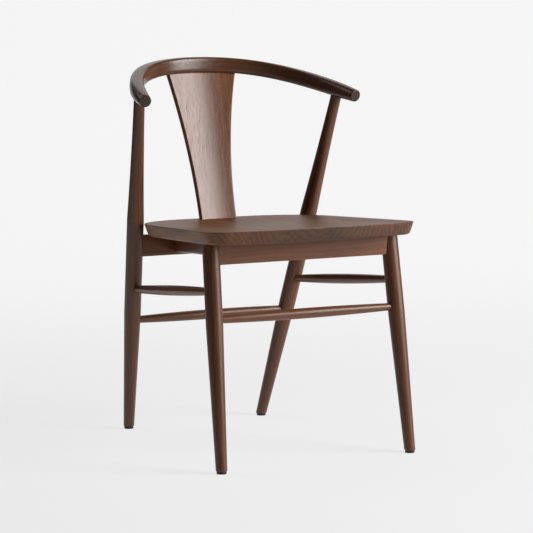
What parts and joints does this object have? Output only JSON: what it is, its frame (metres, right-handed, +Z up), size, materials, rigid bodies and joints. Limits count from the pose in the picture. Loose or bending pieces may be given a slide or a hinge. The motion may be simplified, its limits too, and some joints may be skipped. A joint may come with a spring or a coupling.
{
  "type": "wood dining armchair",
  "caption": "Wood armchair with turned splayed legs, one bent bow forming the arms and top rail, a flared back splat, a dished board seat and turned stretchers.",
  "frame": {"origin": "on the floor, midway between the left and right feet, at the middle of the overall depth", "axes": "+Z up, +X to the right as seen by someone who looks at the chair's front, -Y the way the chair faces"},
  "size_m": [0.5014, 0.542, 0.7662],
  "materials": {
    "seat_walnut": "satin",
    "bow_walnut": "satin",
    "splat_walnut": "satin",
    "leg_walnut": "satin",
    "post_walnut": "satin",
    "apron_walnut": "satin",
    "stretcher_walnut": "satin",
    "block_wood": "satin",
    "dowel_wood": "satin",
    "glide_nylon": "matte",
    "screw_steel": "zinc plated",
    "nail_steel": "plain"
  },
  "bodies": {
    "root": {"seat": "seat_walnut", "arm_bow": "bow_walnut", "back_splat": "splat_walnut", "front_leg_left": "leg_walnut", "front_leg_right": "leg_walnut", "rear_post_left": "post_walnut", "rear_post_right": "post_walnut", "front_apron": "apron_walnut", "rear_apron": "apron_walnut", "side_apron_left": "apron_walnut", "side_apron_right": "apron_walnut", "front_stretcher": "stretcher_walnut", "rear_stretcher": "stretcher_walnut", "side_stretcher_left": "stretcher_walnut", "side_stretcher_right": "stretcher_walnut", "corner_block_front_left": "block_wood", "corner_block_front_right": "block_wood", "corner_block_rear_left": "block_wood", "corner_block_rear_right": "block_wood", "corner_block_screws": "screw_steel", "seat_screws": "screw_steel", "front_apron_dowels": "dowel_wood", "rear_apron_dowels": "dowel_wood", "side_apron_left_dowels": "dowel_wood", "side_apron_right_dowels": "dowel_wood", "foot_glide_front_left": "glide_nylon", "foot_glide_front_right": "glide_nylon", "foot_glide_rear_left": "glide_nylon", "foot_glide_rear_right": "glide_nylon", "glide_nails": "nail_steel"}
  },
  "joints": []
}
